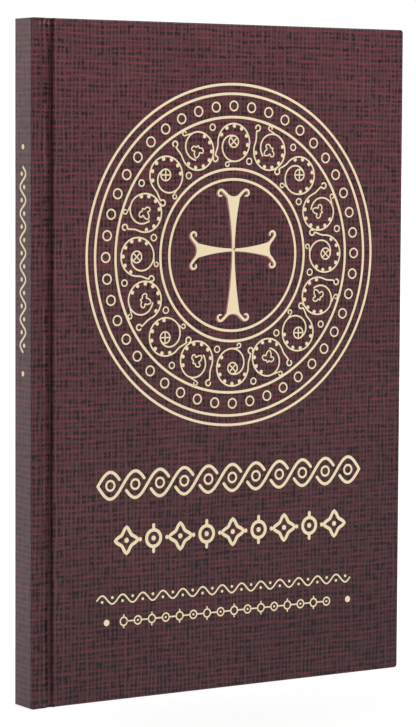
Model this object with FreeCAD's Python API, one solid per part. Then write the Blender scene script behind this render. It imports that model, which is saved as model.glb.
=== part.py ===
"""A hardcover prayer book, standing closed on its tail: case, endpapers and sewn block as separate solids.

Millimetres. +Z runs up from the tail to the head, the spine is at -X and the front cover faces -Y.
The origin is the middle of the tail face, so the book stands on Z = 0.
"""

import FreeCAD, Part
import math
import os

from FreeCAD import Vector

# Driving dimensions: the closed book
COVER_HEIGHT = 206.0
COVER_WIDTH = 136.6
BOOK_THICKNESS = 10.2
JOINT_WIDTH = 7.6  # outer spine face to the near edge of a cover board

# Materials of the case
BOARD_THICKNESS = 1.75
COVER_PAPER = 0.15
TURN_IN = 15.0  # how far the cover paper is folded over the boards' inner faces
OUTER_ROUND = 0.5  # rounding of the covered board edges
CORNER_ROUND = 1.0  # rounding of the fore-edge corners, seen from the front
BOARD_ROUND = OUTER_ROUND - COVER_PAPER

# Sewn block
BLOCK_WIDTH = 130.0
BLOCK_HEIGHT = 200.0
SIGNATURES = 8
LEAVES_PER_SIGNATURE = 8
LEAF_THICKNESS = 0.08
BLOCK_THICKNESS = 5.5
SIGNATURE_PITCH = BLOCK_THICKNESS / SIGNATURES
SIGNATURE_THICKNESS = LEAVES_PER_SIGNATURE * LEAF_THICKNESS
FOLD_RADIUS = SIGNATURE_THICKNESS / 2

# Gutter lines, where leaves bend away from the strip that stays sewn to the spine
FLYLEAF_GUTTER = 4.88  # from the folds' centres to the flyleaves' gutter line
FIRST_GUTTER = 5.34  # the same for the outermost signatures
GUTTER_STEP = 0.62  # each signature nearer the middle bends this much farther out
GUTTER_GAP = 0.02

# Endpapers, spine linings and thread
ENDPAPER = 0.12
PASTEDOWN_TRIM = 0.2  # each end of a pastedown lies this much inside the block's height
PASTEDOWN_REACH = 0.3  # how far a pastedown runs past the block's fore-edge
PASTEDOWN_STEP = 0.5  # from the gauze flap's edge to the tray sunk inside the turn-ins
MULL = 0.15
MULL_HEIGHT = 186.0
MULL_ON_BOARD = 22.0
FLAP_MARGIN = 1.0  # from the gauze flap's ends to the turn-ins
LINER = 0.15
LINER_HEIGHT = 188.0
THREAD_RADIUS = 0.10
STITCH_STATIONS = 6
STITCH_SPREAD = 160.0  # first to last needle station along the spine
FLYLEAF_GAP = 0.02  # clearance between a pastedown and its flyleaf
BAND_RADIUS = 0.75
BAND_FORWARD = 0.2  # how far a band's bead sits over the folds
BAND_TAPE_HEIGHT = 7.0
THREAD_CLEARANCE = 0.05
BAND_CLEARANCE = 0.05
GROOVE_CLEARANCE = 0.03  # between the joint paper and the layer under it
PAST = 1.0  # how far cutting boxes stand past the shape they cut
CLOSE = 0.01  # tolerance for picking edges and for cuts that start on a face

# Places worked out from the sizes above
HALF_WIDTH = COVER_WIDTH / 2
HALF_THICKNESS = BOOK_THICKNESS / 2
BOARD_X = -HALF_WIDTH + JOINT_WIDTH
BOARD_OUT_Y = -HALF_THICKNESS + COVER_PAPER
BOARD_IN_Y = BOARD_OUT_Y + BOARD_THICKNESS
TURN_IN_Y = BOARD_IN_Y + COVER_PAPER
PASTEDOWN_Y = TURN_IN_Y + ENDPAPER
FLYLEAF_Y = PASTEDOWN_Y + FLYLEAF_GAP
SQUARE = (COVER_HEIGHT - BLOCK_HEIGHT) / 2  # how far the boards stand past the block
BLOCK_TOP = SQUARE + BLOCK_HEIGHT

SPINE_BOARD_X = -HALF_WIDTH + COVER_PAPER
SPINE_INNER_X = SPINE_BOARD_X + BOARD_THICKNESS
SPINE_LINED_X = SPINE_INNER_X + COVER_PAPER
HOLLOW = 0.10  # free gap behind the spine panel
LINER_X = SPINE_LINED_X + HOLLOW
MULL_X = LINER_X + LINER
THREAD_X = MULL_X + MULL
FOLD_X = THREAD_X + 2 * THREAD_RADIUS + THREAD_CLEARANCE
FOLD_CENTRE_X = FOLD_X + FOLD_RADIUS
FORE_EDGE_X = FOLD_X + BLOCK_WIDTH

# Joint profile, as (distance from the outer spine face, depth under the cover's face, bend radius)
GROOVE_DEPTH = HALF_THICKNESS + BOARD_IN_Y - COVER_PAPER - GROOVE_CLEARANCE
JOINT_PROFILE = [
    (SPINE_LINED_X + HALF_WIDTH, 0.0, 0.0),
    (2.35, 0.0, 0.4),
    (3.00, 0.70, 0.5),
    (4.40, 0.05, 0.9),
    (6.15, GROOVE_DEPTH, 0.5),
    (JOINT_WIDTH - COVER_PAPER, GROOVE_DEPTH, 0.35),
    (JOINT_WIDTH - COVER_PAPER, 0.0, OUTER_ROUND),
    (JOINT_WIDTH + OUTER_ROUND, 0.0, 0.0),
]


def box(x0, x1, y0, y1, z0, z1):
    """A box between two corners."""
    return Part.makeBox(x1 - x0, y1 - y0, z1 - z0, Vector(x0, y0, z0))


def rounded(solid, radius, wanted):
    """The solid with the edges chosen by wanted(middle, direction) rounded."""
    edges = []
    for edge in solid.Edges:
        ends = [v.Point for v in edge.Vertexes]
        direction = (ends[1] - ends[0]).normalize()
        if wanted((ends[0] + ends[1]) * 0.5, direction):
            edges.append(edge)
    return solid.makeFillet(radius, edges)


def corner_rounded(solid, radius, fore_edge_x):
    """Rounds the two fore-edge corners, seen from the front."""
    return rounded(
        solid,
        radius,
        lambda middle, along: abs(along.y) > 0.9 and abs(middle.x - fore_edge_x) < CLOSE,
    )


def outline_rounded(solid, radius, open_x):
    """Rounds every edge along the outline of a plate's two faces, except those on the side at open_x."""
    return rounded(
        solid,
        radius,
        lambda middle, along: abs(along.y) < 0.1 and abs(middle.x - open_x) > CLOSE,
    )


def turn_between(a, b, c):
    """Signed turn, in radians, of the path a to b to c."""
    before = math.atan2(b[1] - a[1], b[0] - a[0])
    after = math.atan2(c[1] - b[1], c[0] - b[0])
    return (after - before + math.pi) % (2 * math.pi) - math.pi


def offset_path(points, distance):
    """The path moved sideways to its left by distance, mitred at its corners, with radii to suit."""
    moved = []
    for i, (x, y, radius) in enumerate(points):
        before = points[max(i - 1, 0)]
        after = points[min(i + 1, len(points) - 1)]
        if i == 0:
            before = (2 * x - after[0], 2 * y - after[1])
        if i == len(points) - 1:
            after = (2 * x - before[0], 2 * y - before[1])
        turn = turn_between(before, (x, y), after)
        heading = math.atan2(y - before[1], x - before[0]) + turn / 2
        reach = distance / math.cos(turn / 2)
        bend = radius - math.copysign(distance, turn) if radius else 0.0
        moved.append((x - reach * math.sin(heading), y + reach * math.cos(heading), bend))
    return moved


def path_edges(points):
    """Straight and arc edges through (x, y, bend radius) points in the XY plane."""
    edges = []
    start = Vector(points[0][0], points[0][1], 0)
    for before, corner, after in zip(points, points[1:], points[2:]):
        turn = turn_between(before, corner, after)
        tip = Vector(corner[0], corner[1], 0)
        back = (Vector(before[0], before[1], 0) - tip).normalize()
        ahead = (Vector(after[0], after[1], 0) - tip).normalize()
        reach = corner[2] * math.tan(abs(turn) / 2)
        middle = (back + ahead).normalize() * corner[2] * (1 / math.cos(turn / 2) - 1)
        edges.append(Part.LineSegment(start, tip + back * reach).toShape())
        edges.append(Part.Arc(tip + back * reach, tip + middle, tip + ahead * reach).toShape())
        start = tip + ahead * reach
    edges.append(Part.LineSegment(start, Vector(points[-1][0], points[-1][1], 0)).toShape())
    return edges


def strip(points, thickness, z0, z1):
    """A bent sheet of even thickness, laid on the left of the path, from z0 to z1."""
    near = path_edges(points)
    far = path_edges(offset_path(points, thickness))
    ends = []
    for k in (0, -1):
        near_end = near[k].Vertexes[k].Point
        far_end = far[k].Vertexes[k].Point
        ends.append(Part.LineSegment(near_end, far_end).toShape())
    outline = Part.Wire(Part.__sortEdges__(near + far + ends))
    sheet = Part.Face(outline).extrude(Vector(0, 0, z1 - z0))
    return sheet.translated(Vector(0, 0, z0))


def cover_board():
    """Greyboard of the front cover."""
    board = box(BOARD_X, HALF_WIDTH - COVER_PAPER, BOARD_OUT_Y, BOARD_IN_Y,
                COVER_PAPER, COVER_HEIGHT - COVER_PAPER)
    board = corner_rounded(board, CORNER_ROUND - COVER_PAPER, HALF_WIDTH - COVER_PAPER)
    board = outline_rounded(board, BOARD_ROUND, BOARD_X)
    return rounded(
        board,
        BOARD_ROUND,
        lambda middle, along: abs(along.z) > 0.9
        and abs(middle.x - BOARD_X) < CLOSE
        and abs(middle.y - BOARD_OUT_Y) < CLOSE,
    )


def cover_paper():
    """Printed paper over the front board, folded round its edges onto the inner face."""
    start_x = BOARD_X - PAST
    skin = box(start_x, HALF_WIDTH, -HALF_THICKNESS, TURN_IN_Y, 0.0, COVER_HEIGHT)
    skin = corner_rounded(skin, CORNER_ROUND, HALF_WIDTH)
    skin = outline_rounded(skin, OUTER_ROUND, start_x)
    joint_side = box(start_x - PAST, BOARD_X + OUTER_ROUND, -HALF_THICKNESS - PAST, TURN_IN_Y + PAST,
                     -PAST, COVER_HEIGHT + PAST)
    window = box(start_x, HALF_WIDTH - TURN_IN, BOARD_IN_Y - CLOSE, TURN_IN_Y + PAST,
                 TURN_IN, COVER_HEIGHT - TURN_IN)
    return skin.cut(joint_side).cut(cover_board()).cut(window)


def joint_paper():
    """Cover paper pressed into the joint between the spine and the front board."""
    outside = [(x - HALF_WIDTH, -HALF_THICKNESS + depth, radius) for x, depth, radius in JOINT_PROFILE]
    return strip(outside, COVER_PAPER, 0.0, COVER_HEIGHT)


def mull_flap():
    """The gauze's flap, glued on the front board under the pastedown."""
    end = TURN_IN + FLAP_MARGIN
    return box(BOARD_X, BOARD_X + MULL_ON_BOARD, BOARD_IN_Y, BOARD_IN_Y + MULL,
               end, COVER_HEIGHT - end)


def mull_joint():
    """The gauze where it crosses the joint from the block to the board."""
    middle = COVER_HEIGHT / 2
    return box(MULL_X + MULL, BOARD_X, BOARD_IN_Y, BOARD_IN_Y + MULL,
               middle - MULL_HEIGHT / 2, middle + MULL_HEIGHT / 2)


def pastedown():
    """The endpaper half glued on the board, with the step where it sinks inside the turn-ins."""
    margin = box(BOARD_X, FORE_EDGE_X + PASTEDOWN_REACH, TURN_IN_Y, PASTEDOWN_Y,
                 SQUARE + PASTEDOWN_TRIM, BLOCK_TOP - PASTEDOWN_TRIM)
    x0 = BOARD_X + MULL_ON_BOARD + PASTEDOWN_STEP
    x1 = HALF_WIDTH - TURN_IN
    z0 = TURN_IN
    z1 = COVER_HEIGHT - TURN_IN
    tray = box(x0, x1, BOARD_IN_Y, PASTEDOWN_Y, z0, z1)
    sunk = box(x0 + ENDPAPER, x1 - ENDPAPER, BOARD_IN_Y + ENDPAPER, PASTEDOWN_Y + PAST,
               z0 + ENDPAPER, z1 - ENDPAPER)
    return margin.fuse(tray).cut(sunk).removeSplitter()


def endpaper_joint():
    """The endpaper round its fold: from the board's edge to the spine and back to the flyleaf's gutter."""
    across = box(FOLD_X, BOARD_X, TURN_IN_Y, PASTEDOWN_Y, SQUARE, BLOCK_TOP)
    fold = box(FOLD_X, FOLD_X + ENDPAPER, TURN_IN_Y, FLYLEAF_Y + ENDPAPER, SQUARE, BLOCK_TOP)
    root = box(FOLD_X, FOLD_CENTRE_X + FLYLEAF_GUTTER - GUTTER_GAP, FLYLEAF_Y, FLYLEAF_Y + ENDPAPER,
               SQUARE, BLOCK_TOP)
    return across.fuse([fold, root]).removeSplitter()


def flyleaf():
    """The endpaper half that turns with the pages."""
    return box(FOLD_CENTRE_X + FLYLEAF_GUTTER, FORE_EDGE_X, FLYLEAF_Y, FLYLEAF_Y + ENDPAPER,
               SQUARE, BLOCK_TOP)


def gutter_x(index):
    """Where the leaves of one signature bend."""
    return FOLD_CENTRE_X + FIRST_GUTTER + GUTTER_STEP * min(index, SIGNATURES - 1 - index)


def round_backed(index, x0, x1):
    """A slab as thick as one signature, from a half-round back centred on x0 to a flat end at x1."""
    middle = -BLOCK_THICKNESS / 2 + (index + 0.5) * SIGNATURE_PITCH
    slab = box(x0, x1, middle - FOLD_RADIUS, middle + FOLD_RADIUS, SQUARE, BLOCK_TOP)
    back = Part.makeCylinder(FOLD_RADIUS, BLOCK_HEIGHT, Vector(x0, middle, SQUARE))
    return slab.fuse(back).removeSplitter()


def signature(index):
    """The turning leaves of one sewn section of folded sheets, counted from the front."""
    return round_backed(index, gutter_x(index), FORE_EDGE_X)


def gutter_folds():
    """The folded backs of all signatures, which stay sewn and glued to the spine."""
    folds = []
    for index in range(SIGNATURES):
        end = gutter_x(index) - FOLD_RADIUS - GUTTER_GAP
        folds.append(round_backed(index, FOLD_CENTRE_X, end))
    return Part.makeCompound(folds)


def spine_board():
    """Flat greyboard stiffener of the spine."""
    board = box(SPINE_BOARD_X, SPINE_INNER_X, BOARD_OUT_Y, -BOARD_OUT_Y,
                COVER_PAPER, COVER_HEIGHT - COVER_PAPER)
    return rounded(
        board,
        BOARD_ROUND,
        lambda middle, along: abs(middle.x - SPINE_BOARD_X) < CLOSE,
    )


def spine_paper():
    """Printed paper over the spine board, with its head and tail turn-ins."""
    skin = box(-HALF_WIDTH, SPINE_LINED_X, -HALF_THICKNESS, HALF_THICKNESS, 0.0, COVER_HEIGHT)
    skin = rounded(skin, OUTER_ROUND, lambda middle, along: abs(middle.x + HALF_WIDTH) < CLOSE)
    window = box(SPINE_INNER_X - CLOSE, SPINE_LINED_X + PAST, BOARD_OUT_Y, -BOARD_OUT_Y,
                 TURN_IN, COVER_HEIGHT - TURN_IN)
    return skin.cut(spine_board()).cut(window)


def spine_mull():
    """Open gauze glued across the back of the sewn block."""
    middle = COVER_HEIGHT / 2
    return box(MULL_X, MULL_X + MULL, BOARD_IN_Y, -BOARD_IN_Y,
               middle - MULL_HEIGHT / 2, middle + MULL_HEIGHT / 2)


def spine_liner():
    """Kraft paper strip over the gauze."""
    middle = COVER_HEIGHT / 2
    return box(LINER_X, LINER_X + LINER, -BLOCK_THICKNESS / 2, BLOCK_THICKNESS / 2,
               middle - LINER_HEIGHT / 2, middle + LINER_HEIGHT / 2)


def sewing_thread():
    """Chain stitches that link the signatures' folds, one row at each needle station."""
    step = STITCH_SPREAD / (STITCH_STATIONS - 1)
    rows = []
    for k in range(STITCH_STATIONS):
        z = COVER_HEIGHT / 2 - STITCH_SPREAD / 2 + k * step
        start = Vector(THREAD_X + THREAD_RADIUS, -BLOCK_THICKNESS / 2, z)
        rows.append(Part.makeCylinder(THREAD_RADIUS, BLOCK_THICKNESS, start, Vector(0, 1, 0)))
    return Part.makeCompound(rows)


def head_band():
    """Woven bead at the head of the spine, on a tape glued to the back of the block."""
    side_y = BLOCK_THICKNESS / 2
    top = BLOCK_TOP + BAND_RADIUS
    start = Vector(FOLD_X + BAND_FORWARD, -side_y, top + BAND_CLEARANCE)
    bead = Part.makeCylinder(BAND_RADIUS, BLOCK_THICKNESS, start, Vector(0, 1, 0))
    tape = box(MULL_X, MULL_X + MULL, -side_y, side_y, top - BAND_TAPE_HEIGHT, top)
    return bead.fuse(tape).removeSplitter()


def to_back(solid):
    """The same piece on the back cover's side."""
    return solid.mirror(Vector(0, 0, 0), Vector(0, 1, 0))


def to_tail(solid):
    """The same piece at the tail."""
    return solid.mirror(Vector(0, 0, COVER_HEIGHT / 2), Vector(0, 0, 1))


def pieces():
    """Every node's name with its shape."""
    made = {
        "spine_board": spine_board(),
        "spine_cover_paper": spine_paper(),
        "spine_mull": spine_mull(),
        "spine_liner": spine_liner(),
        "sewing_thread": sewing_thread(),
        "gutter_folds": gutter_folds(),
        "head_band": head_band(),
        "tail_band": to_tail(head_band()),
    }
    for name, shape in (
        ("board", cover_board()),
        ("cover_paper", cover_paper()),
        ("joint_paper", joint_paper()),
        ("mull_flap", mull_flap()),
        ("mull_joint", mull_joint()),
        ("pastedown", pastedown()),
        ("endpaper_joint", endpaper_joint()),
        ("flyleaf", flyleaf()),
    ):
        made["front_" + name] = shape
        made["back_" + name] = to_back(shape)
    for index in range(SIGNATURES):
        made[f"signature_{index + 1:02d}"] = signature(index)
    return made


def main():
    os.makedirs("parts", exist_ok=True)
    for name, shape in pieces().items():
        assert shape.isValid() and shape.Solids, name
        shape.exportStep(f"parts/{name}.step")
        print(f"{name}: {len(shape.Solids)} solid(s), {shape.Volume:.1f} mm3")


main()
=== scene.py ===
import math
import random

import bpy
import numpy as np
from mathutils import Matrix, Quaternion, Vector


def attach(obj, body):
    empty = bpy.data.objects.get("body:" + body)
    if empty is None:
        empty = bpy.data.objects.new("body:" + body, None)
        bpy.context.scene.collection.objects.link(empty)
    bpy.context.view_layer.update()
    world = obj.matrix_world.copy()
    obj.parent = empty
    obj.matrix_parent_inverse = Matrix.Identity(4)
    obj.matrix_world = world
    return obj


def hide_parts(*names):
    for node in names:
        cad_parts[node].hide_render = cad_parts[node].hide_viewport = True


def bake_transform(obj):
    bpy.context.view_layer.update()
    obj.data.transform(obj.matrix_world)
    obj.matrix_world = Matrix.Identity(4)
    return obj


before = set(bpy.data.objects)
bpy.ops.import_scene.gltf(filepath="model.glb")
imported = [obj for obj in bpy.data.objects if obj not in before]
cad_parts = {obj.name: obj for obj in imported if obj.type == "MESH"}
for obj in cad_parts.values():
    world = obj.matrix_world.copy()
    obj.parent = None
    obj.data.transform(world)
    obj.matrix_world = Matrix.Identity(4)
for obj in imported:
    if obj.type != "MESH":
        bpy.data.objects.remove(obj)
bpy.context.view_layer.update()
random.seed(11)

MM = 0.001

# The book, in millimetres: the same places as in the CAD source
HEIGHT = 206.0
SPINE_X = -68.3
FACE_Y = 5.1
PAPER = 0.15
BOARD_X = -60.7
SPINE_LINED_X = -66.25
MULL_Y = (-3.20, -3.05)
ENDPAPER_Y = (-3.05, -2.93)
FLYLEAF_Y = (-2.91, -2.79)
FOLD_X = -65.6
FOLD_CENTRE_X = -65.28
FOLD_RADIUS = 0.32
FORE_EDGE_X = 64.4
BLOCK_Z = (3.0, 203.0)
SIGNATURES = 8
SIGNATURE_PITCH = 0.6875
FLYLEAF_GUTTER_X = -60.4
FIRST_GUTTER_X = -59.94
GUTTER_STEP = 0.62
LEAF_PITCH = 0.08
SHEETS_PER_SIGNATURE = 4
GAUZE_START_X = -65.85
GAUZE_Z = (10.0, 196.0)
JOINT_PROFILE = [
    (SPINE_LINED_X, -5.10, 0.0),
    (-65.95, -5.10, 0.4),
    (-65.30, -4.40, 0.5),
    (-63.90, -5.05, 0.9),
    (-62.15, -3.38, 0.5),
    (-60.85, -3.38, 0.35),
    (-60.85, -5.10, 0.5),
    (-60.20, -5.10, 0.0),
]

# The head and tail bands
BEAD_X = -65.4
BEAD_HALF = 2.72
BEAD_RADIUS = 0.66
BEAD_END_RADIUS = 0.45
BEAD_RIDGE = (0.06, 0.55)  # height and pitch of the wrapped thread's turns
BEAD_RISE = 0.8  # from the block's end to the bead's middle
TAPE_X = (-65.86, -65.99)
TAPE_HALF = 2.75
TAPE_REACH = (0.1, 6.9)  # the tape's two ends, from the bead's middle towards the block

# The print on the front cover
MEDALLION = (3.3, 134.95)
RINGS = (52.67, 49.73, 42.56, 26.6, 23.4)
RING_STROKE = 0.8
BEAD_CIRCLE = 46.0
BEADS = 44
BEAD_RING = (1.45, 0.48)  # radius and stroke
SCROLL_CIRCLE = 34.75
SCROLLS = 16
CROSS = (3.4, 136.6)
INK = 0.03  # how far the ink stands on the paper
INK_STEP = 0.0015  # one shape's top over the next one's
INK_LEVELS = 9
INK_FOOT = 0.002  # where the ink's side walls start
CROSS_ARMS = ((17.6, 0.0), (14.6, math.pi / 2), (20.9, math.pi), (14.6, -math.pi / 2))
SCROLL_STROKE = 0.5
TENDRIL_STROKE = 0.42
# Half of a three-lobed leaf, from its stalk to its tip
LEAF_HALF = [(0.0, -1.9), (0.5, -0.95), (1.4, -1.35), (2.3, -0.5),
             (1.9, 0.4), (0.8, 0.1), (1.0, 1.1), (0.0, 2.5)]

# The printed weave
ROW_PITCH = 1.60
COLUMN_PITCH = 1.37
WARP_DARK = (0.110, 0.039, 0.047)
WARP_LIGHT = (0.162, 0.083, 0.091)
WEFT = (0.275, 0.050, 0.071)
WEAVE_GAP = (0.016, 0.014, 0.015)
WORN_EDGE = (0.20, 0.12, 0.115)


# ---------------------------------------------------------------- materials

class Shader:
    """Builds one procedural material, node by node."""

    def __init__(self, name, roughness=0.8, **fixed):
        self.material = bpy.data.materials.new(name)
        self.material.use_nodes = True
        self.tree = self.material.node_tree
        self.bsdf = self.tree.nodes["Principled BSDF"]
        self.bsdf.inputs["Roughness"].default_value = roughness
        for socket, value in fixed.items():
            self.bsdf.inputs[socket.replace("_", " ")].default_value = value

    def node(self, kind, **settings):
        """A new node with its settings."""
        made = self.tree.nodes.new(kind)
        for key, value in settings.items():
            setattr(made, key, value)
        return made

    def put(self, socket, value):
        """Links a socket, or sets a constant."""
        if isinstance(value, bpy.types.NodeSocket):
            self.tree.links.new(value, socket)
        else:
            socket.default_value = value

    def math(self, operation, *values):
        made = self.node("ShaderNodeMath", operation=operation)
        for socket, value in zip(made.inputs, values):
            self.put(socket, value)
        return made.outputs[0]

    def add(self, *values):
        total = values[0]
        for value in values[1:]:
            total = self.math("ADD", total, value)
        return total

    def times(self, a, b):
        return self.math("MULTIPLY", a, b)

    def wave(self, phase):
        """Cosine of a phase counted in turns."""
        return self.math("COSINE", self.times(phase, 2 * math.pi))

    def step(self, value, low, high):
        """0 below low, 1 above high, smooth between."""
        made = self.node("ShaderNodeMapRange", interpolation_type="SMOOTHSTEP")
        self.put(made.inputs["Value"], value)
        made.inputs["From Min"].default_value = low
        made.inputs["From Max"].default_value = high
        return made.outputs["Result"]

    def place(self, attribute=None):
        """The point at rest, in millimetres, as three sockets."""
        if attribute:
            source = self.node("ShaderNodeAttribute", attribute_name=attribute).outputs["Vector"]
        else:
            source = self.node("ShaderNodeTexCoord").outputs["Object"]
        split = self.node("ShaderNodeSeparateXYZ")
        self.put(split.inputs[0], source)
        return [self.times(out, 1 / MM) for out in split.outputs]

    def noise(self, x, y, z, detail=2.0):
        """Noise about 0, at a point given by three numbers or sockets."""
        join = self.node("ShaderNodeCombineXYZ")
        for socket, value in zip(join.inputs, (x, y, z)):
            self.put(socket, value)
        made = self.node("ShaderNodeTexNoise")
        self.put(made.inputs["Vector"], join.outputs[0])
        made.inputs["Scale"].default_value = 1.0
        made.inputs["Detail"].default_value = detail
        return self.add(made.outputs["Fac"], -0.5)

    def mix(self, share, a, b):
        """Colour a where share is 0, and colour b where it is 1."""
        made = self.node("ShaderNodeMix", data_type="RGBA")
        self.put(made.inputs["Factor"], share)
        for socket, value in ((made.inputs["A"], a), (made.inputs["B"], b)):
            self.put(socket, (*value, 1.0) if isinstance(value, tuple) else value)
        return made.outputs["Result"]

    def scale_colour(self, colour, factor):
        made = self.node("ShaderNodeVectorMath", operation="SCALE")
        self.put(made.inputs[0], colour)
        self.put(made.inputs["Scale"], factor)
        return made.outputs[0]

    def finish(self, colour, bump=None, distance=0.02):
        """Joins up the shader; distance is the bump's depth in millimetres."""
        self.put(self.bsdf.inputs["Base Color"], colour)
        if bump is not None:
            made = self.node("ShaderNodeBump")
            made.inputs["Distance"].default_value = distance * MM
            self.put(made.inputs["Height"], bump)
            self.put(self.bsdf.inputs["Normal"], made.outputs[0])
        return self.material


def cover_print(name, attribute=None):
    """Laminated paper printed with an enlarged loose weave, with painted shade that makes it
    darker towards the bottom.
    """
    s = Shader(name, roughness=0.28, Specular_IOR_Level=0.20)
    x, y, z = s.place(attribute)
    u = s.math("SUBTRACT", x, y)  # runs on round the spine's corner
    row_shift = s.noise(s.times(u, 0.06), s.times(z, 0.25), 3.1)
    row = s.add(s.times(z, 1 / ROW_PITCH), s.times(row_shift, 1.3))
    column_shift = s.noise(s.times(u, 0.30), s.times(z, 0.07), 7.7)
    column = s.add(s.times(u, 1 / COLUMN_PITCH), s.times(column_shift, 1.5))
    rows = s.wave(row)
    columns = s.wave(column)
    blotch = s.noise(s.times(u, 0.42), s.times(z, 0.55), 2.0)
    slub = s.noise(s.times(u, 0.12), s.times(z, 0.60), 15.0, 1.0)
    thick = s.noise(s.times(u, 1.1), s.times(z, 0.16), 19.0, 1.0)
    row_pairs = s.wave(s.times(row, 0.5))
    column_pairs = s.wave(s.times(column, 0.5))
    # the z term in depth widens the dark gaps lower down: painted shade towards the bottom
    depth = s.add(
        s.times(rows, -0.36), s.times(row_pairs, -0.14),
        s.times(columns, -0.46), s.times(column_pairs, -0.24),
        s.times(blotch, 2.6), s.times(slub, 1.6), s.times(thick, 1.5),
        s.times(z, -0.22 / HEIGHT), 0.11,
    )
    gap = s.step(depth, 0.05, 0.80)
    weft_share = s.noise(s.times(u, 0.15), s.times(z, 1.3), 21.0)
    weft = s.step(s.add(rows, s.times(weft_share, 3.8)), 0.2, 1.7)
    warp_share = s.noise(s.times(u, 1.6), s.times(z, 0.05), 31.0)
    warp = s.step(s.add(columns, s.times(warp_share, 3.0)), 0.1, 1.6)
    fibre = s.noise(s.times(u, 3.0), s.times(z, 3.0), 44.0, 3.0)
    thread = s.mix(s.times(warp, 0.75), WARP_DARK, WARP_LIGHT)
    thread = s.mix(s.times(weft, 0.75), thread, WEFT)
    colour = s.mix(s.times(gap, 0.90), thread, WEAVE_GAP)
    patch = s.noise(s.times(u, 0.035), s.times(z, 0.03), 52.0, 1.0)
    # painted light and shade: the print is lighter towards the top and darker towards the bottom,
    # standing in for light falling from above
    height = s.times(z, 0.31 / HEIGHT)
    # a little darker low down at the fore-edge
    corner = s.times(s.times(x, 0.0009), s.add(s.times(z, 1 / HEIGHT), -1.0))
    tone = s.add(0.53, height, corner, s.times(patch, 0.22), s.times(fibre, 0.60))
    colour = s.scale_colour(colour, tone)
    near_end = s.math("MINIMUM", z, s.math("SUBTRACT", HEIGHT, z))
    near_edge = s.math("MINIMUM", near_end, s.math("SUBTRACT", -SPINE_X, x))
    uneven = s.times(s.noise(s.times(u, 0.9), s.times(z, 0.9), 66.0), 1.6)
    rub = s.step(s.add(s.times(near_edge, -1.0), uneven), -0.1, 0.7)
    colour = s.mix(s.times(rub, 0.25), colour, WORN_EDGE)
    cockle = s.noise(s.times(u, 0.02), s.times(z, 0.016), 80.0, 1.0)
    return s.finish(colour, s.add(s.times(cockle, 6.0), s.times(fibre, 0.10)), 0.05)


def speckled(name, light, dark, scale, roughness=0.85, bump=0.01, attribute=None, cut=False):
    """Paper or board: two close tones mixed by fine fibre noise.

    With cut, the trimmed edges of the block are a little darker and streaked leaf by leaf.
    """
    s = Shader(name, roughness=roughness)
    x, y, z = s.place(attribute)
    fine = s.noise(s.times(x, scale), s.times(s.add(y, z), scale), s.times(z, scale), 4.0)
    broad = s.noise(s.times(x, 0.03), y, s.times(z, 0.03), 1.0)
    share = s.step(s.add(fine, s.times(broad, 0.6)), -0.3, 0.3)
    colour = s.mix(share, dark, light)
    if cut:
        middle = (BLOCK_Z[0] + BLOCK_Z[1]) / 2
        end = BLOCK_Z[1] - middle
        from_middle = s.math("ABSOLUTE", s.add(z, -middle))
        at_edge = s.math("MAXIMUM", s.step(x, FORE_EDGE_X - 0.35, FORE_EDGE_X - 0.15),
                         s.step(from_middle, end - 0.25, end - 0.10))
        streak = s.noise(s.times(x, 0.02), s.times(y, 4.0), s.times(z, 0.02), 3.0)
        change = s.add(-0.10, s.times(streak, 1.3))
        colour = s.scale_colour(colour, s.add(1.0, s.times(at_edge, change)))
    return s.finish(colour, fine, bump)


def striped(name, first, second, pitch, axis):
    """Thread wrapped in two colours."""
    s = Shader(name, roughness=0.7)
    place = s.place()
    stripe = s.step(s.wave(s.times(place[axis], 1 / pitch)), -0.25, 0.25)
    fibre = s.noise(*[s.times(p, 4.0) for p in place], 3.0)
    colour = s.mix(stripe, first, second)
    return s.finish(s.scale_colour(colour, s.add(1.0, s.times(fibre, 0.5))), fibre, 0.03)


def gauze(name, attribute=None):
    """Starched open-weave cotton."""
    s = Shader(name, roughness=0.9)
    x, y, z = s.place(attribute)
    grid = s.math("MAXIMUM", s.wave(s.times(z, 1 / 0.9)), s.wave(s.times(s.add(x, y), 1 / 0.9)))
    share = s.step(grid, 0.1, 0.6)
    return s.finish(s.mix(share, (0.44, 0.40, 0.33), (0.78, 0.75, 0.67)), grid, 0.05)


COVER = cover_print("cover_print")
COVER_BENT = cover_print("cover_print_in_joint", "rest_place")
CREAM = speckled("cream_ink", (0.88, 0.735, 0.485), (0.83, 0.685, 0.445), 2.0, 0.42, 0.002)
ROSE = speckled("rose_ink", (0.36, 0.15, 0.15), (0.28, 0.11, 0.11), 2.0, 0.42, 0.002)
TEXT_PAPER = speckled("text_paper", (0.86, 0.83, 0.74), (0.80, 0.77, 0.67), 1.6,
                      attribute="rest_place", cut=True)
ENDPAPER_TONES = ((0.84, 0.81, 0.73), (0.77, 0.73, 0.64))
ENDPAPER = speckled("endpaper", *ENDPAPER_TONES, 1.2)
ENDPAPER_BENT = speckled("endpaper_bent", *ENDPAPER_TONES, 1.2, attribute="rest_place")
GAUZE = gauze("gauze")
GAUZE_BENT = gauze("gauze_in_joint", "rest_place")
GREYBOARD = speckled("greyboard", (0.46, 0.43, 0.39), (0.30, 0.28, 0.25), 1.0, bump=0.03)
KRAFT = speckled("kraft", (0.50, 0.35, 0.21), (0.40, 0.27, 0.15), 1.5)
BAND_CLOTH = striped("headband_cloth", (0.42, 0.05, 0.05), (0.80, 0.74, 0.60), 1.1, 1)
THREAD = striped("linen_thread", (0.74, 0.70, 0.60), (0.82, 0.79, 0.71), 0.5, 1)


# ------------------------------------------------------------- mesh helpers

def ease(t):
    """0 below 0, 1 above 1, smooth between."""
    t = min(1.0, max(0.0, t))
    return t * t * (3 - 2 * t)


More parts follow.
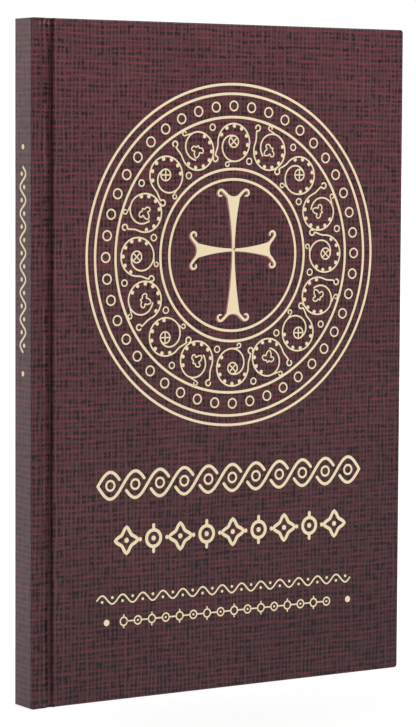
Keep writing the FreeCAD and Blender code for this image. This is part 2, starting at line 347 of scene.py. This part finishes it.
def made_mesh(name, points, faces, material, smooth=False):
    """An object from points in millimetres."""
    mesh = bpy.data.meshes.new(name)
    mesh.from_pydata([tuple(c * MM for c in p) for p in points], [], faces)
    mesh.materials.append(material)
    mesh.validate()
    for polygon in mesh.polygons:
        polygon.use_smooth = smooth
    obj = bpy.data.objects.new(name, mesh)
    bpy.context.scene.collection.objects.link(obj)
    return obj


def remember_rest(obj):
    """Keeps each point's rest place for the piece's pattern, which then bends with it."""
    kept = obj.data.attributes.new("rest_place", "FLOAT_VECTOR", "POINT")
    flat = np.array([v.co for v in obj.data.vertices], np.float32).ravel()
    kept.data.foreach_set("vector", flat)


def along(a, b, count):
    """Evenly spaced numbers from a to b, count steps apart."""
    return [a + (b - a) * i / count for i in range(count + 1)]


def rounded_path(corners, steps=7):
    """Dense (x, y) points along a path of (x, y, bend radius) corners."""
    path = [Vector(corners[0][:2])]
    for before, corner, after in zip(corners, corners[1:], corners[2:]):
        tip = Vector(corner[:2])
        back = (Vector(before[:2]) - tip).normalized()
        ahead = (Vector(after[:2]) - tip).normalized()
        half = back.angle(ahead) / 2
        reach = corner[2] / math.tan(half)
        centre = tip + (back + ahead).normalized() * corner[2] / math.sin(half)
        start = tip + back * reach - centre
        turn = start.angle_signed(tip + ahead * reach - centre)
        for i in range(steps + 1):
            a = -turn * i / steps
            arm = Vector((start.x * math.cos(a) - start.y * math.sin(a),
                          start.x * math.sin(a) + start.y * math.cos(a)))
            path.append(centre + arm)
    path.append(Vector(corners[-1][:2]))
    dense = [path[0]]
    for a, b in zip(path, path[1:]):
        pieces = max(1, int((b - a).length / 0.3))
        dense += [a.lerp(b, i / pieces) for i in range(1, pieces + 1)]
    return [(p.x, p.y) for p in dense]


def offset(path, distance):
    """The path moved to its left."""
    moved = []
    for i, (x, y) in enumerate(path):
        x0, y0 = path[max(i - 1, 0)]
        x1, y1 = path[min(i + 1, len(path) - 1)]
        length = math.hypot(x1 - x0, y1 - y0)
        moved.append((x - distance * (y1 - y0) / length, y + distance * (x1 - x0) / length))
    return moved


def sheet(name, near, far, levels, material, side=1, smooth=True, relief=None):
    """A closed thin sheet between two (x, y) paths of equal length, from level to level.

    Side -1 mirrors it to the back. relief(z) below 1 makes the dents under the cover's
    face shallower at that level.
    """
    count = len(near)
    points = []
    for z in levels:
        lift = 1 - relief(z) if relief else 0.0
        lifts = [lift * (y + FACE_Y) for _, y in near] * 2
        points += [(x, (y - up) * side, z) for (x, y), up in zip(near + far, lifts)]
    faces = []
    for level in range(len(levels) - 1):
        a = level * 2 * count
        b = a + 2 * count
        for i in range(count - 1):
            faces.append((a + i, a + i + 1, b + i + 1, b + i))
            faces.append((a + count + i + 1, a + count + i,
                          b + count + i, b + count + i + 1))
        faces.append((a + count, a, b, b + count))
        faces.append((a + count - 1, a + 2 * count - 1, b + 2 * count - 1, b + count - 1))
    last = (len(levels) - 1) * 2 * count
    for i in range(count - 1):
        faces.append((i + 1, i, count + i, count + i + 1))
        faces.append((last + i, last + i + 1, last + count + i + 1, last + count + i))
    if side < 0:
        faces = [tuple(reversed(f)) for f in faces]
    return made_mesh(name, points, faces, material, smooth)


def flat_sheet(name, x0, x1, y0, y1, z0, z1, material, side):
    """A flat sheet with points close enough together to bend."""
    xs = along(x0, x1, max(2, int((x1 - x0) / 0.2)))
    return sheet(name, [(x, y0) for x in xs], [(x, y1) for x in xs], along(z0, z1, 8),
                 material, side)


def bends(obj):
    """Keeps a piece's points at rest for its materials, and bakes its place into its mesh."""
    remember_rest(obj)
    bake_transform(obj)


# -------------------------------------------------------------------- joints

def groove_relief(z):
    """The pressed groove runs out softly at head and tail and is shallower low down."""
    head = ease((HEIGHT - z) / 9.0)
    tail = ease(z / 14.0)
    low = ease(z / 90.0)
    return min(0.72 + 0.28 * head, 0.42 + 0.33 * tail + 0.25 * low)


def build_joint(label, side):
    """Cover paper, gauze and endpaper where they cross the joint of one cover."""
    outer = rounded_path(JOINT_PROFILE)
    paper = sheet(f"{label}_joint_skin", outer, offset(outer, PAPER), along(0.0, HEIGHT, 72),
                  COVER_BENT, side, relief=groove_relief)
    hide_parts(f"{label}_joint_paper")
    gauze_strip = flat_sheet(f"{label}_gauze_in_joint", GAUZE_START_X, BOARD_X, *MULL_Y,
                             *GAUZE_Z, GAUZE_BENT, side)
    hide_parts(f"{label}_mull_joint")
    end_strip = flat_sheet(f"{label}_endpaper_in_joint", FOLD_X, BOARD_X, *ENDPAPER_Y,
                           *BLOCK_Z, ENDPAPER_BENT, side)
    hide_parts(f"{label}_endpaper_joint")
    for strip in (paper, gauze_strip, end_strip):
        bends(strip)


def build_flyleaf(label, side):
    """The turning endpaper half, from its fold at the spine to the fore-edge."""
    fine = along(FOLD_X + 0.4, FLYLEAF_GUTTER_X + 5.0, 40)  # close enough together to bend
    xs = [FOLD_X] + fine + along(-50.0, FORE_EDGE_X, 12)
    near = [(x, FLYLEAF_Y[0]) for x in xs]
    far = [(x, FLYLEAF_Y[1]) for x in xs]
    leaf = sheet(f"{label}_turning_endpaper", near, far, along(*BLOCK_Z, 4), ENDPAPER_BENT, side)
    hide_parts(f"{label}_flyleaf")
    bends(leaf)


# --------------------------------------------------------------------- block

def folded_leaf(name, middle, outer, inner, fore, levels, gutter):
    """One sheet folded once round a line at the spine: a long U seen from the head."""
    # coarse over the flat part, fine where it bends
    straight = along(fore, gutter + 6.0, 10) + along(gutter + 5.7, FOLD_CENTRE_X, 60)
    bend = [math.pi * i / 10 for i in range(1, 10)]

    def path(radius):
        down = [(x, middle - radius) for x in straight]
        fold = [(FOLD_CENTRE_X - radius * math.sin(a), middle - radius * math.cos(a))
                for a in bend]
        up = [(x, middle + radius) for x in reversed(straight)]
        return down + fold + up

    return sheet(name, path(inner), path(outer), levels, TEXT_PAPER)


def build_signature(index):
    """Four nested folded sheets, each with close points from near its gutter line to the fold."""
    node = f"signature_{index + 1:02d}"
    middle = -SIGNATURES * SIGNATURE_PITCH / 2 + (index + 0.5) * SIGNATURE_PITCH
    gutter = FIRST_GUTTER_X + GUTTER_STEP * min(index, SIGNATURES - 1 - index)
    for k in range(SHEETS_PER_SIGNATURE):
        outer = FOLD_RADIUS - LEAF_PITCH * k
        trim = random.uniform(-0.05, 0.03)
        low = BLOCK_Z[0] + random.uniform(0, 0.04)
        high = BLOCK_Z[1] - random.uniform(0, 0.05)
        leaf = folded_leaf(f"{node}_sheet_{k + 1}", middle, outer - 0.003,
                           max(outer - 0.077, 0.003), FORE_EDGE_X + trim,
                           along(low, high, 3), gutter)
        if k == 0:
            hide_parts(node, "gutter_folds")
        bends(leaf)


def build_band(label, z, up):
    """A bead wrapped in two threads at one end of the spine, on its glued tape."""
    points = []
    faces = []
    rings = 56
    around = 14
    for i in range(rings + 1):
        y = -BEAD_HALF + 2 * BEAD_HALF * i / rings
        radius = BEAD_RADIUS + BEAD_RIDGE[0] * math.cos(2 * math.pi * y / BEAD_RIDGE[1])
        if i in (0, rings):
            radius = BEAD_END_RADIUS
        for j in range(around):
            a = 2 * math.pi * j / around
            points.append((BEAD_X + radius * math.cos(a), y, z + radius * math.sin(a)))
    for i in range(rings):
        for j in range(around):
            k = (j + 1) % around
            near, far = i * around, (i + 1) * around
            faces.append((near + j, near + k, far + k, far + j))
    faces.append(tuple(reversed(range(around))))
    faces.append(tuple(rings * around + j for j in range(around)))
    bead = made_mesh(f"{label}_bead", points, faces, BAND_CLOTH, True)
    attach(bead, "spine")
    tape_z = sorted(z - reach * up for reach in TAPE_REACH)
    near, far = ([(x, y) for y in along(-TAPE_HALF, TAPE_HALF, 4)] for x in TAPE_X)
    tape = sheet(f"{label}_tape", near, far, tape_z, BAND_CLOTH, smooth=False)
    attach(tape, "spine")
    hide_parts(label)


# --------------------------------------------------------------------- print

class Ink:
    """Collects flat inked shapes on one face of the case."""

    def __init__(self, on_spine=False, height=INK):
        self.on_spine = on_spine
        self.height = height
        self.points = []
        self.faces = []
        self.shapes = 0

    def _next_height(self):
        """Shapes that cross lie a hair apart, so that none shares another's plane."""
        self.shapes += 1
        return self.height + INK_STEP * (self.shapes % INK_LEVELS)

    def _place(self, a, b, height):
        if self.on_spine:
            return (SPINE_X - height, -a, b)
        return (a, -FACE_Y - height, b)

    def strip(self, left, right, closed=False):
        """A band between two rows of points, with low side walls.

        The first row is on the left of the way along.
        """
        count = len(left)
        base = len(self.points)
        top = self._next_height()
        for row, height in ((left, top), (right, top), (left, INK_FOOT), (right, INK_FOOT)):
            self.points += [self._place(a, b, height) for a, b in row]
        for i in range(count if closed else count - 1):
            j = (i + 1) % count
            l0, l1 = base + i, base + j
            r0, r1 = l0 + count, l1 + count
            dl0, dl1 = l0 + 2 * count, l1 + 2 * count
            dr0, dr1 = l0 + 3 * count, l1 + 3 * count
            self.faces += [(l0, r0, r1, l1), (dl0, l0, l1, dl1), (r0, dr0, dr1, r1)]

    def stroke(self, line, width, closed=False, taper=None):
        """A line of even width, or of width times taper(share along it)."""
        count = len(line)
        left = []
        right = []
        for i, (a, b) in enumerate(line):
            before = line[(i - 1) % count] if closed or i else line[0]
            after = line[(i + 1) % count] if closed or i < count - 1 else line[-1]
            da, db = after[0] - before[0], after[1] - before[1]
            length = math.hypot(da, db) or 1.0
            half = width / 2 * (taper(i / (count - 1)) if taper else 1.0)
            left.append((a - half * db / length, b + half * da / length))
            right.append((a + half * db / length, b - half * da / length))
        self.strip(left, right, closed)

    def line(self, line, width, taper=None):
        """A stroke with round ends."""
        self.stroke(line, width, taper=taper)
        for place, share in ((line[0], 0.0), (line[-1], 1.0)):
            self.dot(*place, width / 2 * (taper(share) if taper else 1.0), 10)

    def ring(self, a, b, radius, width, count=28):
        """A circle drawn as an even line."""
        circle = []
        for i in range(count):
            t = 2 * math.pi * i / count
            circle.append((a + radius * math.sin(t), b + radius * math.cos(t)))
        self.stroke(circle, width, closed=True)

    def dot(self, a, b, radius, count=16):
        """A filled circle."""
        base = len(self.points)
        for height in (self._next_height(), INK_FOOT):
            for i in range(count):
                t = -2 * math.pi * i / count
                place = self._place(a + radius * math.sin(t), b + radius * math.cos(t), height)
                self.points.append(place)
        self.faces.append(tuple(range(base, base + count)))
        for i in range(count):
            j = (i + 1) % count
            self.faces.append((base + i, base + count + i, base + count + j, base + j))

    def grid(self, rows):
        """A filled patch from rows of points, each row from left to right."""
        for low, high in zip(rows, rows[1:]):
            self.strip(high, low)

    def build(self, name, body, material):
        """Makes the shapes so far into one piece that moves with the body."""
        obj = made_mesh(name, self.points, self.faces, material)
        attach(obj, body)


def turned(points, centre, angle):
    """Local (along, out) points set on a circle's rim at an angle clockwise from the top."""
    s, c = math.sin(angle), math.cos(angle)
    return [(centre[0] + a * c + b * s, centre[1] - a * s + b * c) for a, b in points]


def curl(a, b, start, turn, r0, r1, count=20):
    """A small spiral about a point, from radius r0 to r1."""
    line = []
    for i in range(count + 1):
        t = i / count
        angle = start + turn * t
        radius = r0 + (r1 - r0) * t
        line.append((a + radius * math.sin(angle), b + radius * math.cos(angle)))
    return line


def scroll_line(big, small, start, end, fade, count=90):
    """A spiral that keeps radius big up to the angle fade, then winds in to radius small."""
    line = []
    for i in range(count + 1):
        angle = math.radians(start + (end - start) * i / count)
        share = ease((math.degrees(angle) - fade) / (end - fade))
        radius = big + (small - big) * share
        line.append((radius * math.sin(angle), radius * math.cos(angle)))
    return line


def softened(points, rounds=2):
    """A closed outline with its corners cut."""
    for _ in range(rounds):
        pairs = zip(points, points[1:] + points[:1])
        points = [((1 - t) * a[0] + t * b[0], (1 - t) * a[1] + t * b[1])
                  for a, b in pairs for t in (0.25, 0.75)]
    return points


def draw_scroll(ink, centre, angle, out, leafy):
    """One roundel of the medallion's scroll band.

    Its tail lies inwards, or outwards when out is -1. Leafy ones hold a leaf, the others
    a crossed ring.
    """
    def put(points):
        return turned([(a, out * b) for a, b in points], centre, angle)

    radius = 5.85
    lead = [(-radius - 0.9 * ease(1 - i / 10) ** 1.5, -4.05 + 4.05 * i / 10) for i in range(10)]
    if leafy:
        turns = scroll_line(radius, 2.9, -90, 322, 150)
    else:
        turns = scroll_line(radius, 2.05, -90, 375, 165)
    ink.line(put(lead + turns), SCROLL_STROKE)
    tail_end = curl(-6.75, -5.0, 0.0, math.radians(300), 0.95, 0.8)
    ink.line(put(tail_end), SCROLL_STROKE)
    branch = [(-0.2 - 2.0 * t, -5.8 - 0.10 * t - 0.12 * t * t) for t in along(0.0, 1.0, 6)]
    branch_end = curl(-2.35, -6.72, math.radians(10), math.radians(-285), 0.72, 0.6)
    ink.line(put(branch + branch_end), TENDRIL_STROKE)
    for degrees in (-62, -30, 2, 34, 66, 98, 128):
        a = math.radians(degrees)
        ink.dot(*put([(5.15 * math.sin(a), 5.15 * math.cos(a))])[0], 0.62, 12)
    if leafy:
        leaf = softened(LEAF_HALF + [(-a, b) for a, b in reversed(LEAF_HALF[1:-1])])
        tilted = turned(leaf, (-0.1, 0.0), math.radians(-35))
        ink.stroke(put(tilted), TENDRIL_STROKE, closed=True)
    else:
        ink.ring(*put([(0.0, 0.3)])[0], 1.75, 0.45)
        for tilt in (45, 135):
            a = math.radians(tilt)
            ink.stroke(put([(-1.6 * math.sin(a), 0.3 - 1.6 * math.cos(a)),
                            (1.6 * math.sin(a), 0.3 + 1.6 * math.cos(a))]), TENDRIL_STROKE)


def build_medallion():
    """Rings, bead circles and scroll roundels round the cross."""
    ink = Ink()
    cx, cz = MEDALLION
    for radius in RINGS:
        ink.ring(cx, cz, radius, RING_STROKE, 180)
    for k in range(BEADS):
        a = 2 * math.pi * k / BEADS
        ink.ring(cx + BEAD_CIRCLE * math.sin(a), cz + BEAD_CIRCLE * math.cos(a), *BEAD_RING)
    for k in range(SCROLLS):
        a = 2 * math.pi * k / SCROLLS
        centre = (cx + SCROLL_CIRCLE * math.sin(a), cz + SCROLL_CIRCLE * math.cos(a))
        draw_scroll(ink, centre, a, -1 if k % 2 else 1, k % 2 == 1)
        a += math.pi / SCROLLS
        radius = SCROLL_CIRCLE + (5.4 if k % 2 else -5.2)
        ink.ring(cx + radius * math.sin(a), cz + radius * math.cos(a), 0.95, TENDRIL_STROKE, 18)
    ink.build("medallion_print", "front_cover", CREAM)


def cross_arm(ink, length, angle, shift):
    """One flared arm with a hollow end, drawn out at each corner into a curl."""
    centre = (CROSS[0] + shift[0], CROSS[1] + shift[1])
    rows = []
    for i in range(25):
        t = i / 24
        half = 0.42 + 2.2 * t ** 1.8
        row = []
        for j in range(9):
            s = -1 + j / 4
            row.append((s * half, length * t - 1.1 * t ** 5 * (1 - s * s)))
        rows.append(turned(row, centre, angle))
    ink.grid(rows)
    for side in (-1, 1):
        tip = [(side * (2.1 + 1.65 * t), length - 1.1 + 1.65 * t ** 0.8)
               for t in along(0.0, 1.0, 8)]
        hook = curl(side * 4.7, length - 0.1, side * math.radians(-55),
                    side * math.radians(255), 1.12, 0.8)
        ink.line(turned(tip + hook[1:], centre, angle), 0.95, taper=lambda t: 1.0 - 0.5 * t)


def build_cross():
    """The flared cross, with its rose shadow a little to the left under it."""
    for name, shift, height, material in (
        ("cross_shadow_print", (-0.50, -0.22), 0.016, ROSE),
        ("cross_print", (0.0, 0.0), INK, CREAM),
    ):
        ink = Ink(height=height)
        for length, angle in CROSS_ARMS:
            cross_arm(ink, length, angle, shift)
        ink.dot(CROSS[0] + shift[0], CROSS[1] + shift[1], 0.6)
        ink.build(name, "front_cover", material)


def build_plait(ink, x0, x1, z, size, units, stroke):
    """Two strands crossing over and under, with a ringed dot in each eye."""
    pitch = (x1 - x0) / units
    for way in (-1, 1):
        for k in range(units):
            # the strand below stops short of the crossing
            near = 0.0 if (k + (way > 0)) % 2 or k == 0 else 0.14
            far = 1.0 if (k + (way > 0)) % 2 == 0 or k == units - 1 else 0.86
            flip = way * (1 if k % 2 == 0 else -1)
            strand = [(x0 + pitch * (k + t), z + flip * size * math.sin(math.pi * t))
                      for t in along(near, far, 14)]
            ink.line(strand, stroke)
    for k in range(units):
        ink.ring(x0 + pitch * (k + 0.5), z, size * 0.36, stroke * 0.7, 24)


def build_lozenge_row(ink, x0, x1, z, size, units, stroke):
    """Hollow-sided lozenges and ringed dots in turn."""
    pitch = (x1 - x0) / units
    for k in range(units):
        cx = x0 + pitch * (k + 0.5)
        if k % 2:
            ink.ring(cx, z, size * 0.62, stroke)
            ink.dot(cx, z, stroke * 0.75)
            for off in (-1, 1):
                ink.line([(cx, z + off * size * 0.75), (cx, z + off * size)], stroke)
        else:
            outline = []
            for q in range(4):
                a0, a1 = q * math.pi / 2, (q + 1) * math.pi / 2
                for t in along(0.0, 1.0, 12)[:-1]:
                    a = a0 + (a1 - a0) * t
                    radius = size * (1 - 0.42 * math.sin(math.pi * t))
                    outline.append((cx + radius * math.sin(a), z + radius * math.cos(a)))
            ink.stroke(outline, stroke, closed=True)
            ink.dot(cx, z, stroke * 0.75)
        if k:
            ink.dot(cx - pitch / 2, z, stroke * 0.62)


def build_fine_wave(ink, start, end, across, amplitude, period, stroke, upright=False):
    """A thin wave with a dot in each hollow, along the face or up it."""
    count = max(2, int(abs(end - start) / period * 2))
    line = []
    for t in along(0.0, 1.0, count * 8):
        line.append((start + (end - start) * t,
                     across + amplitude * math.sin(math.pi * count * t)))
    dots = []
    for k in range(count):
        t = (k + 0.5) / count
        dots.append((start + (end - start) * t,
                     across - amplitude * 0.45 * (1 if k % 2 == 0 else -1)))
    if upright:
        line = [(-b, a) for a, b in line]
        dots = [(-b, a) for a, b in dots]
    ink.line(line, stroke)
    for place in dots:
        ink.dot(*place, stroke * 0.9)


def build_fine_rings(ink, x0, x1, z, radius, units, stroke):
    """Small rings linked by short bars."""
    pitch = (x1 - x0) / units
    for k in range(units):
        cx = x0 + pitch * (k + 0.5)
        ink.ring(cx, z, radius, stroke, 20)
        if k:
            ink.line([(cx - pitch + radius, z), (cx - radius, z)], stroke)
        if k % 2:
            ink.dot(cx, z, stroke * 0.8)
        else:
            for off in (-1, 1):
                ink.line([(cx, z + off * radius), (cx, z + off * (radius + 0.7))], stroke)


def build_bands():
    """Plain ornament in the lower part of the cover and along the spine."""
    ink = Ink()
    build_plait(ink, -45.3, 52.2, 65.8, 4.1, 11, 0.95)
    build_lozenge_row(ink, -39.9, 47.4, 48.8, 4.1, 9, 1.05)
    build_fine_wave(ink, -45.5, 48.9, 31.0, 1.35, 7.0, 0.5)
    build_fine_rings(ink, -38.5, 42.3, 24.0, 1.25, 16, 0.45)
    for x in (-42.1, 48.1):
        ink.dot(x, 24.0, 1.0)
    ink.build("cover_band_print", "front_cover", CREAM)
    spine = Ink(on_spine=True)
    build_fine_wave(spine, 107.0, 162.0, 0.0, 1.65, 7.4, 0.74, upright=True)
    for z in (168.0, 100.5):
        spine.dot(0.0, z, 0.8)
    spine.build("spine_band_print", "spine", CREAM)


# ------------------------------------------------------------------ assembly

NODE_LOOKS = {
    "cover_paper": COVER,
    "board": GREYBOARD,
    "mull": GAUZE,
    "mull_flap": GAUZE,
    "liner": KRAFT,
    "pastedown": ENDPAPER,
    "sewing_thread": THREAD,
}


def dress_nodes():
    """Gives each CAD node that stays in view its material."""
    for name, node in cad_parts.items():
        for ending, material in NODE_LOOKS.items():
            if name.endswith(ending):
                node.data.materials.clear()
                node.data.materials.append(material)


def build_stage():
    """Plain pale floor, with a little glow of its own so that shadows stay soft."""
    s = Shader("floor", roughness=0.95)
    x, y, z = s.place()
    tone = s.noise(s.times(x, 0.004), s.times(y, 0.004), 0.0, 1.0)
    glow = s.add(0.43, s.times(s.step(y, -900.0, -80.0), 0.24),
                 s.times(s.step(y, -60.0, 60.0), 0.27))
    s.bsdf.inputs["Emission Color"].default_value = (1.0, 1.0, 1.0, 1.0)
    s.put(s.bsdf.inputs["Emission Strength"], glow)
    s.finish(s.mix(s.add(0.5, tone), (0.44, 0.44, 0.44), (0.47, 0.47, 0.47)))
    size = 30000.0
    corners = [(-size, -size, 0), (size, -size, 0), (size, size, 0), (-size, size, 0)]
    made_mesh("floor", corners, [(0, 1, 2, 3)], s.material)


# Two lobes of the tent's brightness: direction, span of the dot product, brightness at its ends
TENT_LOBES = (
    ((0.55, 0.84, 0.0), (-0.25, 0.92), (0.30, 1.05)),
    ((-0.55, 0.84, 0.0), (0.66, 1.00), (0.0, 0.75)),
)


def build_world():
    """A light tent: white behind the book, brighter behind the spine, greyer behind the camera."""
    world = bpy.data.worlds.new("tent")
    bpy.context.scene.world = world
    world.use_nodes = True
    tree = world.node_tree
    background = tree.nodes["Background"]
    place = tree.nodes.new("ShaderNodeTexCoord")
    total = tree.nodes.new("ShaderNodeMath")
    total.operation = "ADD"
    for i, (direction, dots, values) in enumerate(TENT_LOBES):
        toward = tree.nodes.new("ShaderNodeVectorMath")
        toward.operation = "DOT_PRODUCT"
        toward.inputs[1].default_value = direction
        tree.links.new(place.outputs["Generated"], toward.inputs[0])
        span = tree.nodes.new("ShaderNodeMapRange")
        span.interpolation_type = "SMOOTHSTEP"
        for socket, value in zip(("From Min", "From Max", "To Min", "To Max"), dots + values):
            span.inputs[socket].default_value = value
        tree.links.new(toward.outputs["Value"], span.inputs["Value"])
        tree.links.new(span.outputs["Result"], total.inputs[i])
    tree.links.new(total.outputs[0], background.inputs["Strength"])
    background.inputs["Color"].default_value = (1.0, 1.0, 1.0, 1.0)


def soft_light(name, place, aim, size, power):
    """A round area light that faces its aim."""
    data = bpy.data.lights.new(name, "AREA")
    data.shape = "DISK"
    data.size = size
    data.energy = power
    light = bpy.data.objects.new(name, data)
    bpy.context.scene.collection.objects.link(light)
    light.location = place
    light.rotation_euler = (Vector(aim) - Vector(place)).to_track_quat("-Z", "Y").to_euler()


def build_camera():
    """Long lens at the height of the book's middle, to the left of the front cover."""
    azimuth = math.radians(-33.14)
    elevation = math.radians(4.19)
    roll = math.radians(-0.29)
    distance = 0.89346
    aim = Vector((0.0, 0.00375, 0.1009))
    back = Vector((
        math.sin(azimuth) * math.cos(elevation),
        -math.cos(azimuth) * math.cos(elevation),
        math.sin(elevation),
    ))
    data = bpy.data.cameras.new("camera")
    data.lens = 141.72
    data.sensor_width = 36.0
    data.clip_start = 0.05
    camera = bpy.data.objects.new("camera", data)
    bpy.context.scene.collection.objects.link(camera)
    camera.rotation_mode = "QUATERNION"
    camera.location = aim + back * distance
    level = (-back).to_track_quat("-Z", "Y")
    camera.rotation_quaternion = level @ Quaternion((0.0, 0.0, 1.0), -roll)
    bpy.context.scene.camera = camera


dress_nodes()
for label, side in (("front", 1), ("back", -1)):
    build_joint(label, side)
    build_flyleaf(label, side)
for index in range(SIGNATURES):
    build_signature(index)
build_band("head_band", BLOCK_Z[1] + BEAD_RISE, 1)
build_band("tail_band", BLOCK_Z[0] - BEAD_RISE, -1)
build_medallion()
build_cross()
build_bands()
build_stage()
build_world()
soft_light("key", (0.50, -0.80, 0.85), (0.0, 0.0, 0.10), 0.7, 7.2)
build_camera()
bpy.context.scene.view_settings.view_transform = "Standard"
